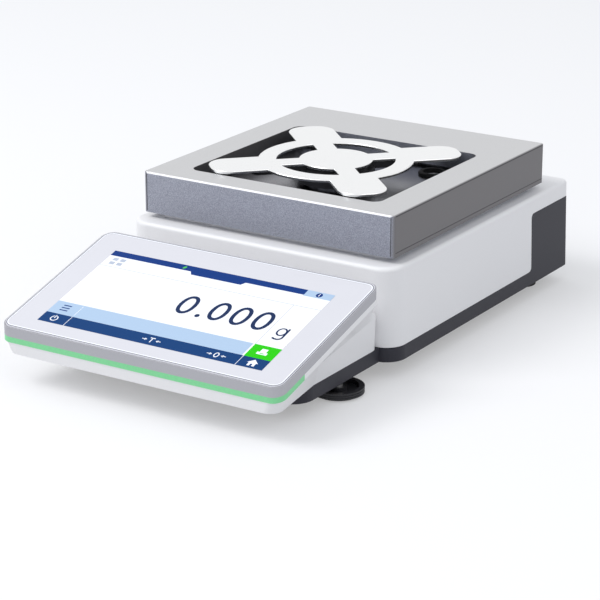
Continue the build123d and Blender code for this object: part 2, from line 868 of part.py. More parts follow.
write(terminal_standoffs, "terminal_standoffs")

with BuildPart() as terminal_shell:
    loft(shell_sections(0, 0), ruled=True)
    add(sloped(frame_bottom, strip_bottom))
    inner = loft(shell_sections(shell_wall, shell_wall), ruled=True, mode=Mode.PRIVATE)
    add(inner, mode=Mode.SUBTRACT)
    add(sloped(frame_bottom - 1, strip_bottom + 1, strip_width + shell_wall), mode=Mode.SUBTRACT)
    add(status_light_strip.part, mode=Mode.SUBTRACT)
    opening_back = terminal_reach - shell_wall
    opening_front = tongue_front_y + wall + shell_wall - terminal_front_y
    box(
        0,
        terminal_front_y + (opening_front + opening_back) / 2,
        chin_z - 1,
        2 * (tongue_half - wall - shell_wall),
        opening_back - opening_front,
        shell_wall + 2,
        mode=Mode.SUBTRACT,
    )

write(terminal_shell, "terminal_shell")

# Levelling feet: rubber sole, wheel on a spigot, threaded stem and the brass insert it turns in
wheel_bottom_z = sole_thickness + spin_gap
stem_bottom_z = wheel_bottom_z + wheel_web
for name, place in (("left", foot_places[0]), ("right", foot_places[1])):
    with BuildPart() as foot_sole:
        extrude(disc(level(0), sole_radius, place), amount=sole_thickness)
        extrude(disc(level(sole_thickness), spigot_radius, place), amount=spigot_height)
    write(foot_sole, f"{name}_foot_sole")

    with BuildPart() as foot_wheel:
        extrude(disc(level(wheel_bottom_z), wheel_radius, place), amount=wheel_top_z - wheel_bottom_z)
        with BuildSketch(level(stem_bottom_z)):
            with Locations(place):
                Circle(wheel_recess_radius)
                Circle(stem_radius + 2.2, mode=Mode.SUBTRACT)
        extrude(amount=wheel_top_z, mode=Mode.SUBTRACT)
        for groove_z in (wheel_bottom_z + 0.9, wheel_bottom_z + 2.2):
            with BuildSketch(level(groove_z)):
                with Locations(place):
                    Circle(wheel_radius + 1)
                    Circle(wheel_radius - wheel_groove, mode=Mode.SUBTRACT)
            extrude(amount=0.6, mode=Mode.SUBTRACT)
        extrude(
            disc(level(wheel_bottom_z), spigot_radius + running_fit, place),
            amount=wheel_web,
            mode=Mode.SUBTRACT,
        )
        extrude(
            disc(level(stem_bottom_z), stem_radius + fixed_fit, place),
            amount=wheel_top_z,
            mode=Mode.SUBTRACT,
        )
    write(foot_wheel, f"{name}_foot_wheel")

    with BuildPart() as foot_stem:
        extrude(disc(level(stem_bottom_z), stem_radius, place), amount=stem_top_z - stem_bottom_z)
        chamfer(foot_stem.edges().group_by(Axis.Z)[-1], 0.6)
    write(foot_stem, f"{name}_foot_stem")

with BuildPart() as foot_inserts:
    for place in foot_places:
        extrude(disc(level(base_z), insert_radius, place), amount=seam_z - base_z)
        bore = disc(level(base_z), stem_radius + running_fit, place)
        extrude(bore, amount=seam_z - base_z, mode=Mode.SUBTRACT)

write(foot_inserts, "foot_inserts")

# Rear feet, the cover over the weigh-below hook and the housing screws
with BuildPart() as rear_feet:
    for place in rear_foot_places:
        extrude(disc(level(0), rear_foot_radius, place), amount=base_z)
    fillet(rear_feet.edges().group_by(Axis.Z)[0], 1)

write(rear_feet, "rear_feet")

with BuildPart() as weigh_below_cover:
    extrude(disc(level(base_z), cover_radius, (0, pan_y)), amount=cover_thickness)
    slot_height = cover_slot_depth + 1
    box(0, pan_y, base_z - 1, cover_slot_length, cover_slot_width, slot_height, mode=Mode.SUBTRACT)

write(weigh_below_cover, "weigh_below_cover")

with BuildPart() as housing_screws:
    for place in shell_screw_places:
        extrude(disc(level(base_z), screw_head_radius, place), amount=screw_head_height)
        shank_z = base_z + screw_head_height
        shank = disc(level(shank_z), screw_radius - fixed_fit, place)
        extrude(shank, amount=floor_z + shell_screw_depth - 1 - shank_z)

write(housing_screws, "housing_screws")
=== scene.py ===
"""Dresses the precision balance's frame for a picture: finishes, the lit screen, the stage and the camera."""

from math import cos, radians, sin

import bmesh
import bpy
from mathutils import Matrix, Vector


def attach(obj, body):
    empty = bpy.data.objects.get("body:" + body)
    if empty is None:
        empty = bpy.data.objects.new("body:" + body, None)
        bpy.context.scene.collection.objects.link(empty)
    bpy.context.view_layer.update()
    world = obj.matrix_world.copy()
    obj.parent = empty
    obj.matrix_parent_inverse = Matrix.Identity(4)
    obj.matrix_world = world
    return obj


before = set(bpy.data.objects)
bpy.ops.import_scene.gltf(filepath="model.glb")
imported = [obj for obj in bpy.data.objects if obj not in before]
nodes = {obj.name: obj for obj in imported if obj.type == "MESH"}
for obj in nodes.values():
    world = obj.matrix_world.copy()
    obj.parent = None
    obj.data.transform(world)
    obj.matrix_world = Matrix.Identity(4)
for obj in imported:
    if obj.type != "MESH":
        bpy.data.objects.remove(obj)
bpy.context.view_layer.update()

bl_info = {
    "name": "Precision balance",
    "version": (1, 0, 0),
    "blender": (4, 5, 0),
    "location": "3D View > Sidebar > Balance",
    "description": "Finishes, screen picture, stage and camera for a precision balance",
    "category": "Object",
}

# The glass plane, in metres: its front edge, its tilt, and the height of the picture and its layers on it
glass_front_y = -0.17625
glass_front_z = 0.0362
glass_tilt = radians(15.5)
picture_height = 0.00003
layer_step = 0.00002

# The screen picture, in millimetres: x from the middle, and up the slope from the glass's front edge
rim_half = 96.0
rim_low = 1.3
rim_top = 109.2
rim_radius = 6.2
screen_half = 78.0
screen_top = 91.6
title_low = 86.3
tab_low = 83.4
rule_low = 75.0
rule_width = 0.3
key_row_top = 33.6
foot_bar_top = 21.4
foot_bar_low = 12.0
paper_low = 12.4
left_line_x = -59.3
right_line_x = 60.0
line_width = 0.35
right_signs_x = (right_line_x + screen_half) / 2
foot_signs_middle = 16.6
reading_low = 45.6
reading_xs = (-5.8, 16.2, 31.1, 46.0)
point_place = (11.6, 47.0)
bowl_place = (68.4, 48.6)
pen_width = 1.2

# The draft ring, in metres: where its painted highlight and painted shade lines lie
ring_half = 0.0894
ring_front_y = -0.0422
ring_middle_y = 0.05325
ring_top_z = 0.098
ring_hem_z = 0.0747
ring_line_depth = 0.0003
ring_side_length = 0.1866
ring_side_drop = 0.001
ring_front_length = 0.1742
ring_front_drop = 0.00095
ring_seam_inset = 0.0021
ring_seam_middle_z = 0.0848
ring_seam_height = 0.0236

# The camera solved from the photograph, in metres, from the middle of the draft ring's top
camera_azimuth = radians(32.49)
camera_elevation = radians(19.04)
camera_left = 0.03031
camera_down = 0.09032

# The stage: places and sizes in metres, powers in watts
lamps = (
    ("key_lamp", (-1.1, -1.3, 1.9), 1.4, 32),
    ("side_lamp", (1.6, -0.4, 1.2), 1.2, 4),
)
lamp_aim = (0, 0, 0.05)
floor_half = 6
floor_grey = (0.62, 0.62, 0.63, 1)
floor_glow = 0.34
sky_tint = (0.92, 0.95, 1.0, 1)
sky_strength = 0.72


class BalanceSettings(bpy.types.PropertyGroup):
    """Sizes and colours that a user would change."""

    housing_colour: bpy.props.FloatVectorProperty(
        name="Housing", description="Light plastic of the housing and the terminal shell",
        subtype="COLOR", size=3, min=0, max=1, default=(0.86, 0.855, 0.865),
    )
    base_colour: bpy.props.FloatVectorProperty(
        name="Base", description="Dark plastic of the base, the rear panel and the tongue",
        subtype="COLOR", size=3, min=0, max=1, default=(0.032, 0.032, 0.042),
    )
    # Painted light: the draft ring's top, front and side colours are one steel in lit and shaded copies,
    # picked by facing
    ring_lit_top_colour: bpy.props.FloatVectorProperty(
        name="Ring top", description="Brushed steel on top of the draft ring",
        subtype="COLOR", size=3, min=0, max=1, default=(0.585, 0.588, 0.60),
    )
    ring_shaded_wall_colour: bpy.props.FloatVectorProperty(
        name="Ring front", description="Blasted steel on the front and back walls of the draft ring",
        subtype="COLOR", size=3, min=0, max=1, default=(0.315, 0.328, 0.385),
    )
    ring_shaded_side_colour: bpy.props.FloatVectorProperty(
        name="Ring sides", description="Brushed steel on the side walls of the draft ring",
        subtype="COLOR", size=3, min=0, max=1, default=(0.165, 0.16, 0.165),
    )
    pan_colour: bpy.props.FloatVectorProperty(
        name="Pan", description="Polished steel of the weighing pan",
        subtype="COLOR", size=3, min=0, max=1, default=(0.86, 0.87, 0.88),
    )
    # Painted shade: the tray's steel colour is darkened for its place under the pan and inside the ring
    tray_shaded_colour: bpy.props.FloatVectorProperty(
        name="Tray", description="Drawn steel of the drip tray",
        subtype="COLOR", size=3, min=0, max=1, default=(0.22, 0.225, 0.25),
    )
    glass_colour: bpy.props.FloatVectorProperty(
        name="Glass border", description="Printed border behind the terminal's glass",
        subtype="COLOR", size=3, min=0, max=1, default=(0.70, 0.70, 0.75),
    )
    frame_colour: bpy.props.FloatVectorProperty(
        name="Terminal frame", description="Silver band round the glass",
        subtype="COLOR", size=3, min=0, max=1, default=(0.42, 0.42, 0.45),
    )
    light_colour: bpy.props.FloatVectorProperty(
        name="Status light", description="Green light strip under the silver band",
        subtype="COLOR", size=3, min=0, max=1, default=(0.20, 0.62, 0.29),
    )
    screen_blue: bpy.props.FloatVectorProperty(
        name="Screen blue", description="Title bar, menu lines and info sign of the screen",
        subtype="COLOR", size=3, min=0, max=1, default=(0.0, 0.032, 0.19),
    )
    digit_height: bpy.props.FloatProperty(
        name="Digits", description="Height of the weight reading on the screen",
        unit="LENGTH", min=0.005, max=0.03, default=0.0186,
    )
    camera_distance: bpy.props.FloatProperty(
        name="Camera distance", description="From the draft ring's top to the camera, along the view",
        unit="LENGTH", min=0.5, max=5, default=1.47634,
    )
    camera_lens: bpy.props.FloatProperty(
        name="Lens", description="Focal length on a 36 mm wide sensor",
        unit="CAMERA", min=20, max=400, default=140.66,
    )


def grain_group():
    """Shared effect: fine grain from object coordinates, as a value and a bumped normal."""
    group = bpy.data.node_groups.get("Surface grain")
    if group:
        return group
    group = bpy.data.node_groups.new("Surface grain", "ShaderNodeTree")
    face = group.interface
    face.new_socket("Stretch", in_out="INPUT", socket_type="NodeSocketVector").default_value = (1, 1, 1)
    face.new_socket("Scale", in_out="INPUT", socket_type="NodeSocketFloat").default_value = 1500
    face.new_socket("Depth", in_out="INPUT", socket_type="NodeSocketFloat").default_value = 0.00002
    face.new_socket("Value", in_out="OUTPUT", socket_type="NodeSocketFloat")
    face.new_socket("Normal", in_out="OUTPUT", socket_type="NodeSocketVector")
    tree, link = group.nodes, group.links.new
    start, end = tree.new("NodeGroupInput"), tree.new("NodeGroupOutput")
    place = tree.new("ShaderNodeTexCoord")
    stretch = tree.new("ShaderNodeVectorMath")
    stretch.operation = "MULTIPLY"
    noise = tree.new("ShaderNodeTexNoise")
    noise.inputs["Detail"].default_value = 3
    bump = tree.new("ShaderNodeBump")
    bump.inputs["Strength"].default_value = 1
    link(place.outputs["Object"], stretch.inputs[0])
    link(start.outputs["Stretch"], stretch.inputs[1])
    link(stretch.outputs["Vector"], noise.inputs["Vector"])
    link(start.outputs["Scale"], noise.inputs["Scale"])
    link(noise.outputs["Fac"], bump.inputs["Height"])
    link(start.outputs["Depth"], bump.inputs["Distance"])
    link(noise.outputs["Fac"], end.inputs["Value"])
    link(bump.outputs["Normal"], end.inputs["Normal"])
    return group


def grain_shades(material, colour, scale, depth, stretch, spread):
    """Grain in one material, and a ramp that varies its colour a little with the grain."""
    tree, link = material.node_tree.nodes, material.node_tree.links.new
    grain = tree.new("ShaderNodeGroup")
    grain.node_tree = grain_group()
    grain.inputs["Scale"].default_value = scale
    grain.inputs["Depth"].default_value = depth
    grain.inputs["Stretch"].default_value = stretch
    ramp = tree.new("ShaderNodeValToRGB")
    low, high = ramp.color_ramp.elements
    low.position, high.position = 0.3, 0.7
    low.color = (*(c * (1 - spread) for c in colour), 1)
    high.color = (*(min(1, c * (1 + spread)) for c in colour), 1)
    link(grain.outputs["Value"], ramp.inputs["Fac"])
    return grain, ramp


def finish(
    name, colour, roughness, metallic=0.0, scale=1500.0, depth=0.00001, stretch=(1, 1, 1), spread=0.06,
    specular=0.5, coat=0.0, emission=0.0,
):
    """A principled finish with grain in its colour and its normal."""
    material = bpy.data.materials.new(name)
    material.use_nodes = True
    link = material.node_tree.links.new
    shader = material.node_tree.nodes["Principled BSDF"]
    grain, ramp = grain_shades(material, colour, scale, depth, stretch, spread)
    link(ramp.outputs["Color"], shader.inputs["Base Color"])
    link(grain.outputs["Normal"], shader.inputs["Normal"])
    shader.inputs["Roughness"].default_value = roughness
    shader.inputs["Metallic"].default_value = metallic
    shader.inputs["Specular IOR Level"].default_value = specular
    shader.inputs["Coat Weight"].default_value = coat
    shader.inputs["Coat Roughness"].default_value = 0.05
    if emission:
        link(ramp.outputs["Color"], shader.inputs["Emission Color"])
        shader.inputs["Emission Strength"].default_value = emission
    return material


def paint(material, *names):
    """Put one finish on CAD nodes."""
    for name in names:
        for slot in nodes[name].material_slots:
            slot.material = material


class BALANCE_OT_finishes(bpy.types.Operator):
    """Give every CAD node its finish"""

    bl_idname = "balance.finishes"
    bl_label = "Finishes"

    def execute(self, context):
        look = context.scene.balance
        self.paint_plastics(look)
        self.paint_steels(look)
        self.paint_ring(look)
        self.paint_inside()
        self.paint_terminal(look)
        return {"FINISHED"}

    def paint_plastics(self, look):
        """Light shells, dark base, black parts and rubber."""
        light = finish("light_plastic", look.housing_colour, 0.42, scale=2600, depth=0.000004, spread=0.015)
        paint(light, "upper_housing", "terminal_shell")
        dark = finish("dark_plastic", look.base_colour, 0.46, scale=2200, spread=0.10, specular=0.22)
        paint(dark, "base_tub", "weigh_below_cover")
        black = finish("black_plastic", (0.018, 0.018, 0.022), 0.38, scale=1800, depth=0.000008, spread=0.10)
        paint(black, "pan_support", "left_foot_wheel", "right_foot_wheel", "board_parts", "power_inlet")
        rubber = finish("rubber", (0.016, 0.016, 0.017), 0.75, scale=1400, depth=0.00002, spread=0.15)
        paint(rubber, "tray_grommet", "rear_feet", "left_foot_sole", "right_foot_sole")

    def paint_steels(self, look):
        """Polished pan, drawn tray, and turned or plated small parts."""
        pan = finish(
            "polished_steel", look.pan_colour, 0.22, metallic=1.0, scale=900, depth=0.0000005,
            stretch=(1, 8, 1), spread=0.01,
        )
        paint(pan, "weighing_pan")
        # Painted shade: the tray's steel is darkened for its place under the pan and inside the ring
        tray = finish(
            "drawn_steel_painted_shade", look.tray_shaded_colour, 0.24, metallic=1.0, scale=500, depth=0.000001,
            stretch=(1, 14, 1), spread=0.04,
        )
        paint(tray, "drip_tray")
        turned = finish(
            "turned_steel", (0.55, 0.55, 0.57), 0.28, metallic=1.0, scale=600, depth=0.000003,
            stretch=(1, 1, 12), spread=0.05,
        )
        paint(turned, "load_column", "left_foot_stem", "right_foot_stem")
        paint(turned, "housing_screws", "cell_screws", "board_screws")
        paint(turned, "usb_device_port", "usb_host_port", "lan_port")

    def paint_ring(self, look):
        """Brushed grain on top and blasted grain on the walls; the colour is painted light by facing: lighter
        on top, painted shade on the front and back, darker painted shade on the sides.
        """
        material = bpy.data.materials.new("ring_steel")
        material.use_nodes = True
        tree, link = material.node_tree.nodes, material.node_tree.links.new
        shader = tree["Principled BSDF"]
        shader.inputs["Metallic"].default_value = 0.75
        shader.inputs["Roughness"].default_value = 0.42
        _, top = grain_shades(material, look.ring_lit_top_colour, 700, 0.000004, (1, 16, 1), 0.035)
        blasted, walls = grain_shades(material, look.ring_shaded_wall_colour, 2400, 0.000004, (1, 1, 1), 0.4)
        face = tree.new("ShaderNodeNewGeometry")
        split = tree.new("ShaderNodeSeparateXYZ")
        # Painted light: faces that look up take the lighter top colour, the others the painted shade of the
        # walls
        lit_top_mask = tree.new("ShaderNodeMapRange")
        lit_top_mask.inputs["From Min"].default_value = 0.25
        lit_top_mask.inputs["From Max"].default_value = 0.8
        # Painted shade: faces that look sideways take the darker side colour
        side_shade_mask = tree.new("ShaderNodeMath")
        side_shade_mask.operation = "ABSOLUTE"
        mix, sides = tree.new("ShaderNodeMix"), tree.new("ShaderNodeMix")
        mix.data_type = sides.data_type = "RGBA"
        sides.inputs["B"].default_value = (*look.ring_shaded_side_colour, 1)
        link(face.outputs["Normal"], split.inputs["Vector"])
        link(split.outputs["Z"], lit_top_mask.inputs["Value"])
        link(split.outputs["X"], side_shade_mask.inputs[0])
        link(lit_top_mask.outputs["Result"], mix.inputs["Factor"])
        link(walls.outputs["Color"], mix.inputs["A"])
        link(top.outputs["Color"], mix.inputs["B"])
        link(side_shade_mask.outputs["Value"], sides.inputs["Factor"])
        link(mix.outputs["Result"], sides.inputs["A"])
        link(sides.outputs["Result"], shader.inputs["Base Color"])
        link(blasted.outputs["Normal"], shader.inputs["Normal"])
        paint(material, "draft_ring")

    def paint_inside(self):
        """Load cell, coil, magnet, boards and brass parts."""
        milled = finish(
            "milled_aluminium", (0.68, 0.69, 0.71), 0.35, metallic=1.0, scale=500, depth=0.000004,
            stretch=(1, 10, 1), spread=0.05,
        )
        paint(milled, "load_cell_frame", "receiver_block", "guide_plates")
        brass = finish("brass", (0.62, 0.42, 0.14), 0.3, metallic=1.0, scale=700, depth=0.000003, spread=0.05)
        paint(brass, "foot_inserts", "terminal_standoffs")
        copper = finish(
            "copper_wire", (0.60, 0.22, 0.08), 0.35, metallic=1.0, scale=700, depth=0.00002,
            stretch=(1, 1, 20), spread=0.2,
        )
        paint(copper, "coil")
        iron = finish("plated_iron", (0.24, 0.24, 0.26), 0.4, metallic=1.0, scale=900, spread=0.1)
        paint(iron, "pot_magnet")
        board = finish("circuit_board", (0.015, 0.14, 0.06), 0.45, scale=350, spread=0.35)
        paint(board, "main_board", "port_board", "terminal_board")

    def paint_terminal(self, look):
        """Glass, silver band, light strip and the display behind them."""
        paint(finish("display_back", (0.03, 0.03, 0.035), 0.3, scale=800, spread=0.1), "display_module")
        silver = finish(
            "silver_paint", look.frame_colour, 0.36, metallic=0.55, scale=4200, depth=0.000003, spread=0.05
        )
        paint(silver, "terminal_frame")
        glow = finish(
            "light_strip", look.light_colour, 0.3, scale=900, depth=0.000002, spread=0.04, emission=0.1
        )
        paint(glow, "status_light_strip")
        glass = finish("printed_glass", look.glass_colour, 0.08, scale=60, depth=0.0, spread=0.006, coat=0.3)
        paint(glass, "touch_glass")


def glass_matrix(height):
    """From the glass's own across, up-slope and normal directions to the row frame."""
    across = Vector((1, 0, 0))
    along = Vector((0, cos(glass_tilt), sin(glass_tilt)))
    normal = Vector((0, -sin(glass_tilt), cos(glass_tilt)))
    origin = Vector((0, glass_front_y, glass_front_z)) + normal * height
    return Matrix.Translation(origin) @ Matrix((across, along, normal)).transposed().to_4x4()


def flat_place(x, s, layer):
    """Place of a shape's middle in the flat picture, from millimetres."""
    return Matrix.Translation((x / 1000, s / 1000, layer * layer_step))


def flat_size(width, height):
    """Size of a flat shape, from millimetres."""
    return Matrix.Diagonal((width / 1000, height / 1000, 1, 1))


class Picture:
    """Flat pieces of one screen picture, drawn in millimetres on the glass."""

    def __init__(self):
        self.bm = bmesh.new()
        self.materials = []

    def number(self, material):
        """Slot number of a material, which is added at its first use."""
        if material not in self.materials:
            self.materials.append(material)
        return self.materials.index(material)

    def mark(self, faces, material):
        """Give new faces their material."""
        for face in faces:
            face.material_index = self.number(material)

    def tile(self, matrix):
        """Square face of one metre, brought to its size and place by a matrix."""
        return bmesh.ops.create_grid(self.bm, x_segments=1, y_segments=1, size=0.5, matrix=matrix)["verts"]

    def bar(self, x0, s0, x1, s1, material, layer):
        """Upright rectangle between two corners."""
        verts = self.tile(flat_place((x0 + x1) / 2, (s0 + s1) / 2, layer) @ flat_size(x1 - x0, s1 - s0))
        self.mark(verts[0].link_faces, material)

    def stroke(self, x0, s0, x1, s1, width, material, layer):
        """Straight line of some width from one point to another."""
        line = Vector((x1 - x0, s1 - s0))
        turn = Matrix.Rotation(-Vector((1, 0)).angle_signed(line), 4, "Z")
        place = flat_place((x0 + x1) / 2, (s0 + s1) / 2, layer)
        verts = self.tile(place @ turn @ flat_size(line.length, width))
        self.mark(verts[0].link_faces, material)

    def dot(self, x, s, radius, material, layer, sides=32, squeeze=1.0, turn=0.0):
        """Disc or ellipse."""
        shape = Matrix.Rotation(turn, 4, "Z") @ Matrix.Diagonal((squeeze, 1, 1, 1))
        circle = bmesh.ops.create_circle(
            self.bm, cap_ends=True, segments=sides, radius=radius / 1000,
            matrix=flat_place(x, s, layer) @ shape,
        )
        self.mark(circle["verts"][0].link_faces, material)

    def outline(self, points, material, layer):
        """Filled shape through a few corners."""
        corners = [self.bm.verts.new((x / 1000, s / 1000, layer * layer_step)) for x, s in points]
        self.mark([self.bm.faces.new(corners)], material)

    def rim(self, half, low, high, radius, width, material, layer):
        """Closed line of one width along the inside of a rounded rectangle."""
        before = set(self.bm.faces)
        verts = self.tile(flat_place(0, (low + high) / 2, layer) @ flat_size(2 * half, high - low))
        bmesh.ops.bevel(
            self.bm, geom=verts, offset=radius / 1000, affect="VERTICES", segments=6, profile=0.5, material=-1
        )
        inside = [face for face in self.bm.faces if face not in before]
        line = bmesh.ops.inset_individual(
            self.bm, faces=inside, thickness=width / 1000, use_even_offset=True
        )
        self.mark(line["faces"], material)
        bmesh.ops.delete(self.bm, geom=inside, context="FACES_ONLY")

    def write(self, text, x, s, height, material, layer):
        """Number set in the plain built-in type, its left foot at a point."""
        curve = bpy.data.curves.new("lettering", "FONT")
        curve.body = text
        curve.size = 1.0
        curve.resolution_u = 6
        holder = bpy.data.objects.new("lettering", curve)
        bpy.context.collection.objects.link(holder)
        bpy.context.view_layer.update()
        mesh = bpy.data.meshes.new_from_object(holder)
        low = Vector([min(v.co[i] for v in mesh.vertices) for i in range(3)])
        high = Vector([max(v.co[i] for v in mesh.vertices) for i in range(3)])
        factor = height / 1000 / (high.y - low.y)
        size = Matrix.Diagonal((factor, factor, 1, 1))
        mesh.transform(flat_place(x, s, layer) @ size @ Matrix.Translation(-low))
        before = set(self.bm.faces)
        self.bm.from_mesh(mesh)
        self.mark(set(self.bm.faces) - before, material)
        bpy.data.objects.remove(holder)

    def lay(self, name, height):
        """Turn every face up and lay the picture on the glass."""
        self.bm.normal_update()
        for face in self.bm.faces:
            if face.normal.z < 0:
                face.normal_flip()
        mesh = bpy.data.meshes.new(name)
        self.bm.to_mesh(mesh)
        self.bm.free()
        for material in self.materials:
            mesh.materials.append(material)
        mesh.transform(glass_matrix(height))
        piece = bpy.data.objects.new(name, mesh)
        bpy.context.collection.objects.link(piece)
        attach(piece, "housing")


class BALANCE_OT_screen(bpy.types.Operator):
    """Draw the lit screen on the glass, with a painted shade line and a painted highlight line round the
    glass's edge
    """

    bl_idname = "balance.screen"
    bl_label = "Screen"

    def execute(self, context):
        look = context.scene.balance
        shades = {
            "paper": (0.86, 0.87, 0.90),
            "blue": tuple(look.screen_blue),
            "navy": (0.0, 0.04, 0.16),
            "ink": (0.006, 0.022, 0.085),
            "pale": (0.40, 0.53, 0.70),
            "grey": (0.22, 0.22, 0.25),
            "green": (0.02, 0.55, 0.0),
            "leaf": (0.08, 0.5, 0.08),
            "line": (0.45, 0.50, 0.60),
            "white": (0.88, 0.90, 0.95),
        }
        ink = {
            name: finish(
                f"screen_{name}", colour, 0.5, scale=6000, depth=0.0, spread=0.02,
                specular=0.12, emission=0.12,
            )
            for name, colour in shades.items()
        }
        picture = Picture()
        # Painted light: the grey line is painted shade along the glass's edge, and the white line inside it
        # is a painted highlight
        for inset, width, name, layer in ((0.0, 0.5, "grey", 1), (0.6, 0.7, "white", 2)):
            low, high = rim_low + inset, rim_top - inset
            picture.rim(rim_half - inset, low, high, rim_radius - inset, width, ink[name], layer)
        picture.bar(-screen_half, paper_low, screen_half, screen_top, ink["paper"], 1)
        self.bars(picture, ink)
        self.title_signs(picture, ink)
        self.key_signs(picture, ink)
        self.foot_signs(picture, ink)
        self.reading(picture, ink, look.digit_height * 1000)
        picture.lay("screen_picture", picture_height)
        return {"FINISHED"}

    def bars(self, picture, ink):
        """Title bar with its tab, the row of keys, the foot bar and the lines between them."""
        info_x = right_line_x - 0.2
        picture.bar(-screen_half, title_low, screen_half, screen_top, ink["blue"], 2)
        picture.outline(((-19, title_low), (-17, tab_low), (18, tab_low), (20, title_low)), ink["blue"], 2)
        picture.bar(info_x, title_low - 0.7, screen_half, screen_top, ink["pale"], 3)
        picture.bar(-screen_half, foot_bar_top, right_line_x - 1.0, key_row_top, ink["pale"], 2)
        picture.bar(right_line_x + 0.2, foot_bar_top, screen_half, key_row_top, ink["green"], 3)
        picture.bar(-screen_half, foot_bar_low, screen_half, foot_bar_top, ink["navy"], 2)
        for start, end in ((left_line_x, screen_half), (-screen_half, left_line_x)):
            picture.bar(start, rule_low, end, rule_low + rule_width, ink["line"], 2)
        picture.bar(right_line_x, key_row_top, right_line_x + rule_width, rule_low, ink["line"], 2)
        for x in (left_line_x, right_line_x):
            picture.bar(x, foot_bar_low, x + line_width, foot_bar_top, ink["white"], 3)
        picture.bar(left_line_x, 22.6, left_line_x + rule_width, 32.4, ink["white"], 3)

    def title_signs(self, picture, ink):
        """Leaf and info sign in the title bar, and four tiles under its left end."""
        picture.dot(-25, 88.9, 1.5, ink["leaf"], 3, squeeze=0.6, turn=radians(-35))
        x, s = right_signs_x, 88.6
        picture.dot(x, s, 2.1, ink["blue"], 4)
        picture.bar(x - 0.3, s - 1.2, x + 0.3, s + 0.3, ink["white"], 5)
        picture.dot(x, s + 1.0, 0.38, ink["white"], 5, sides=16)
        for tile_s in (81.8, 77.6):
            for tile_x in (-73.6, -68.2):
                picture.bar(tile_x, tile_s, tile_x + 3.6, tile_s + 2.8, ink["line"], 2)

    def key_signs(self, picture, ink):
        """Menu lines on the left key and a printer on the green one."""
        for s in (25.0, 27.4, 29.8):
            picture.bar(-71.6, s, -66.0, s + 0.9, ink["blue"], 3)
        x = right_signs_x
        picture.bar(x - 3.4, 25.2, x + 3.4, 27.4, ink["white"], 4)
        picture.bar(x - 2.0, 27.4, x + 2.0, 30.6, ink["white"], 4)
        picture.bar(x - 1.4, 25.9, x + 1.4, 26.5, ink["green"], 5)

    def foot_signs(self, picture, ink):
        """Power, tare, zero and home in the foot bar."""
        white, navy = ink["white"], ink["navy"]
        s = foot_signs_middle
        power_x, tare_x, zero_x, home_x = -right_signs_x, 0.5, 45.0, right_signs_x
        picture.dot(power_x, s, 2.6, white, 3)
        picture.dot(power_x, s, 1.9, navy, 4)
        picture.bar(power_x - 0.8, s + 0.3, power_x + 0.8, s + 3.4, navy, 5)
        picture.bar(power_x - 0.3, s, power_x + 0.3, s + 3.1, white, 6)
        picture.bar(tare_x - 1.7, s + 1.6, tare_x + 1.7, s + 2.3, white, 3)
        picture.bar(tare_x - 0.35, s - 2.2, tare_x + 0.35, s + 2.0, white, 3)
        picture.dot(zero_x, s, 2.3, white, 3, squeeze=0.72)
        picture.dot(zero_x, s, 1.6, navy, 4, squeeze=0.62)
        picture.outline(((home_x - 3.6, s), (home_x, s + 3.3), (home_x + 3.6, s)), white, 3)
        picture.bar(home_x - 2.4, s - 2.8, home_x + 2.4, s + 0.1, white, 3)
        picture.bar(home_x - 0.7, s - 2.8, home_x + 0.7, s - 0.8, navy, 4)
        for x in (tare_x, zero_x):
            for side in (-1, 1):
                tip, barb, tail = x + side * 3.0, x + side * 4.6, x + side * 6.4
                picture.stroke(tail, s, x + side * 3.6, s, 0.55, white, 3)
                picture.outline(((tip, s), (barb, s + 1.1), (barb, s - 1.1)), white, 3)

    def reading(self, picture, ink, height):
        """The weight: four digits, the point, and the unit made of a bowl, a stem and a hook."""
        dark = ink["ink"]
        for x in reading_xs:
            picture.write("0", x, reading_low, height, dark, 3)
        picture.dot(*point_place, 1.6, dark, 3)
        picture.dot(*bowl_place, 3.9, dark, 3, squeeze=0.86)
        picture.dot(*bowl_place, 2.8, ink["paper"], 4, squeeze=0.8)
        picture.bar(71.0, 43.2, 71.0 + pen_width, 52.6, dark, 5)
        hook = ((71.6, 43.4), (70.9, 42.0), (69.4, 41.3), (67.4, 41.4), (65.8, 42.2))
        for start, end in zip(hook, hook[1:]):
            picture.stroke(*start, *end, pen_width, dark, 5)
            picture.dot(*start, pen_width / 2, dark, 6, sides=16)


